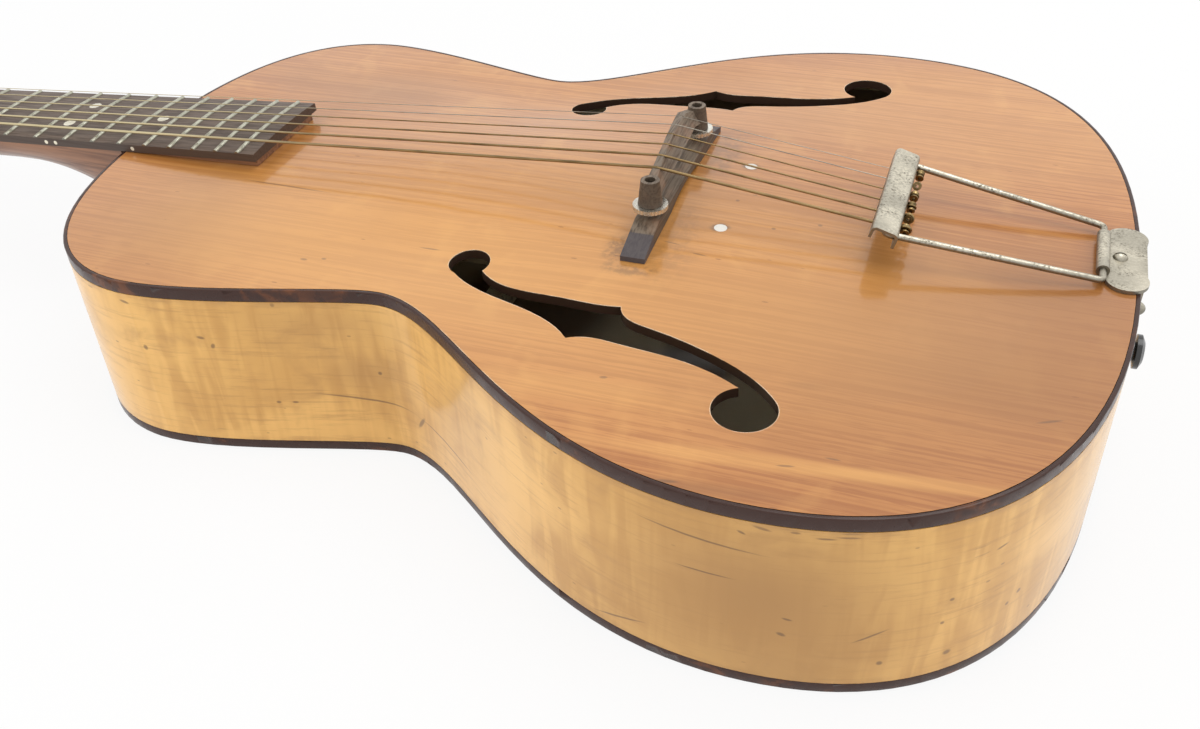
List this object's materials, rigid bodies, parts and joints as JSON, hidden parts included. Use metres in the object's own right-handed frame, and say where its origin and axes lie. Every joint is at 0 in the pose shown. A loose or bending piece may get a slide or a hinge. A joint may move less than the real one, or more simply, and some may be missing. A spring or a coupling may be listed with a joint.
{
  "type": "archtop guitar",
  "caption": "Acoustic archtop guitar with an arched f-hole top, dark binding, floating height-adjustable bridge, trapeze tailpiece and geared tuners.",
  "frame": {"origin": "on the flat back's underside, under the point where the scale length ends at the bridge, on the centreline", "axes": "+X from the headstock towards the tail, +Y towards the treble side, +Z from the back up through the top"},
  "size_m": [0.9992, 0.3674, 0.1161],
  "materials": {
    "spruce_top": "gloss lacquer",
    "maple_back": "gloss lacquer",
    "maple_side": "gloss lacquer",
    "tortoise_binding": "polished",
    "inner_spruce": "raw",
    "neck_mahogany": "satin lacquer",
    "rod_steel": "plain",
    "head_facing": "gloss lacquer",
    "fretboard_rosewood": "dry, open grain",
    "fret_wire": "worn",
    "pearl_dot": "pearl",
    "bone_nut": "satin",
    "tuner_nickel": "aged nickel",
    "worm_steel": "aged nickel",
    "gear_brass": "aged",
    "button_cream": "gloss",
    "bridge_rosewood": "dry",
    "bridge_nickel": "nickel",
    "tailpiece_nickel": "pitted aged nickel",
    "end_pin_black": "gloss",
    "string_plain": "bright",
    "string_wound": "wound bronze"
  },
  "bodies": {
    "guitar": {"top_plate": "spruce_top", "top_plugs": "pearl_dot", "back_plate": "maple_back", "rib_bass": "maple_side", "rib_treble": "maple_side", "top_binding": "tortoise_binding", "back_binding": "tortoise_binding", "top_lining": "inner_spruce", "back_lining": "inner_spruce", "neck_block": "inner_spruce", "tail_block": "inner_spruce", "tone_bars": "inner_spruce", "back_braces": "inner_spruce", "neck": "neck_mahogany", "neck_rod": "rod_steel", "board_riser": "neck_mahogany", "headstock_overlay": "head_facing", "fretboard": "fretboard_rosewood", "frets": "fret_wire", "position_dots": "pearl_dot", "side_dots": "pearl_dot", "nut": "bone_nut", "tuner_plate_bass": "tuner_nickel", "tuner_plate_treble": "tuner_nickel", "tuner_screws": "tuner_nickel", "tuner_ferrules": "tuner_nickel", "bridge_base": "bridge_rosewood", "bridge_posts": "bridge_nickel", "tailpiece_hanger": "tailpiece_nickel", "hanger_screws": "tailpiece_nickel", "end_pin": "end_pin_black", "string_1": "string_plain", "string_2": "string_plain", "string_3": "string_wound", "string_4": "string_wound", "string_5": "string_wound", "string_6": "string_wound"},
    "saddle": {"bridge_saddle": "bridge_rosewood"},
    "thumbwheel_bass": {"thumbwheel_bass": "bridge_nickel"},
    "thumbwheel_treble": {"thumbwheel_treble": "bridge_nickel"},
    "tailpiece": {"tailpiece_bar": "tailpiece_nickel", "tailpiece_wire": "tailpiece_nickel"},
    "tuner_key_1": {"tuner_button_1": "button_cream", "tuner_worm_1": "worm_steel"},
    "tuner_post_1": {"tuner_gear_1": "gear_brass"},
    "tuner_key_2": {"tuner_button_2": "button_cream", "tuner_worm_2": "worm_steel"},
    "tuner_post_2": {"tuner_gear_2": "gear_brass"},
    "tuner_key_3": {"tuner_button_3": "button_cream", "tuner_worm_3": "worm_steel"},
    "tuner_post_3": {"tuner_gear_3": "gear_brass"},
    "tuner_key_4": {"tuner_button_4": "button_cream", "tuner_worm_4": "worm_steel"},
    "tuner_post_4": {"tuner_gear_4": "gear_brass"},
    "tuner_key_5": {"tuner_button_5": "button_cream", "tuner_worm_5": "worm_steel"},
    "tuner_post_5": {"tuner_gear_5": "gear_brass"},
    "tuner_key_6": {"tuner_button_6": "button_cream", "tuner_worm_6": "worm_steel"},
    "tuner_post_6": {"tuner_gear_6": "gear_brass"}
  },
  "joints": [
    {"name": "tuner_key_1_turn", "type": "hinge", "parent": "guitar", "child": "tuner_key_1", "pos_m": [-0.6587, 0.0225, 0.03387], "axis": [0, 1, 0], "continuous": true},
    {"name": "tuner_post_1_turn", "type": "hinge", "parent": "guitar", "child": "tuner_post_1", "pos_m": [-0.66717, 0.0225, 0.03189], "axis": [-0.2284, 0, 0.9736], "continuous": true},
    {"name": "tuner_key_2_turn", "type": "hinge", "parent": "guitar", "child": "tuner_key_2", "pos_m": [-0.69472, 0.0225, 0.02542], "axis": [0, 1, 0], "continuous": true},
    {"name": "tuner_post_2_turn", "type": "hinge", "parent": "guitar", "child": "tuner_post_2", "pos_m": [-0.70319, 0.0225, 0.02344], "axis": [-0.2284, 0, 0.9736], "continuous": true},
    {"name": "tuner_key_3_turn", "type": "hinge", "parent": "guitar", "child": "tuner_key_3", "pos_m": [-0.73074, 0.0225, 0.01697], "axis": [0, 1, 0], "continuous": true},
    {"name": "tuner_post_3_turn", "type": "hinge", "parent": "guitar", "child": "tuner_post_3", "pos_m": [-0.73921, 0.0225, 0.01499], "axis": [-0.2284, 0, 0.9736], "continuous": true},
    {"name": "tuner_key_4_turn", "type": "hinge", "parent": "guitar", "child": "tuner_key_4", "pos_m": [-0.73074, -0.0225, 0.01697], "axis": [0, 1, 0], "continuous": true},
    {"name": "tuner_post_4_turn", "type": "hinge", "parent": "guitar", "child": "tuner_post_4", "pos_m": [-0.73921, -0.0225, 0.01499], "axis": [-0.2284, 0, 0.9736], "continuous": true},
    {"name": "tuner_key_5_turn", "type": "hinge", "parent": "guitar", "child": "tuner_key_5", "pos_m": [-0.69472, -0.0225, 0.02542], "axis": [0, 1, 0], "continuous": true},
    {"name": "tuner_post_5_turn", "type": "hinge", "parent": "guitar", "child": "tuner_post_5", "pos_m": [-0.70319, -0.0225, 0.02344], "axis": [-0.2284, 0, 0.9736], "continuous": true},
    {"name": "tuner_key_6_turn", "type": "hinge", "parent": "guitar", "child": "tuner_key_6", "pos_m": [-0.6587, -0.0225, 0.03387], "axis": [0, 1, 0], "continuous": true},
    {"name": "tuner_post_6_turn", "type": "hinge", "parent": "guitar", "child": "tuner_post_6", "pos_m": [-0.66717, -0.0225, 0.03189], "axis": [-0.2284, 0, 0.9736], "continuous": true},
    {"name": "thumbwheel_bass_turn", "type": "hinge", "parent": "saddle", "child": "thumbwheel_bass", "pos_m": [-0.0019, -0.0365, 0.10319], "axis": [0, 0, 1], "range_deg": [-360, 1080]},
    {"name": "thumbwheel_treble_turn", "type": "hinge", "parent": "saddle", "child": "thumbwheel_treble", "pos_m": [-0.0019, 0.0365, 0.10319], "axis": [0, 0, 1], "range_deg": [-360, 1080]},
    {"name": "saddle_height", "type": "slide", "parent": "guitar", "child": "saddle", "axis": [0, 0, 1], "range_m": [-0.0008, 0.0024], "deforming": ["string_1", "string_2", "string_3", "string_4", "string_5", "string_6"]},
    {"name": "tailpiece_swing", "type": "hinge", "parent": "guitar", "child": "tailpiece", "pos_m": [0.17937, 0, 0.0891], "axis": [0, 1, 0], "range_deg": [-3, 5], "stiffness_Nm_per_rad": 2, "deforming": ["string_1", "string_2", "string_3", "string_4", "string_5", "string_6"]}
  ],
  "couplings": [
    {"joint": "tuner_post_1_turn", "follows": "tuner_key_1_turn", "ratio": -0.071429},
    {"joint": "tuner_post_2_turn", "follows": "tuner_key_2_turn", "ratio": -0.071429},
    {"joint": "tuner_post_3_turn", "follows": "tuner_key_3_turn", "ratio": -0.071429},
    {"joint": "tuner_post_4_turn", "follows": "tuner_key_4_turn", "ratio": -0.071429},
    {"joint": "tuner_post_5_turn", "follows": "tuner_key_5_turn", "ratio": -0.071429},
    {"joint": "tuner_post_6_turn", "follows": "tuner_key_6_turn", "ratio": -0.071429},
    {"joint": "thumbwheel_bass_turn", "follows": "saddle_height", "rad_per_m": 7854},
    {"joint": "thumbwheel_treble_turn", "follows": "saddle_height", "rad_per_m": 7854}
  ]
}
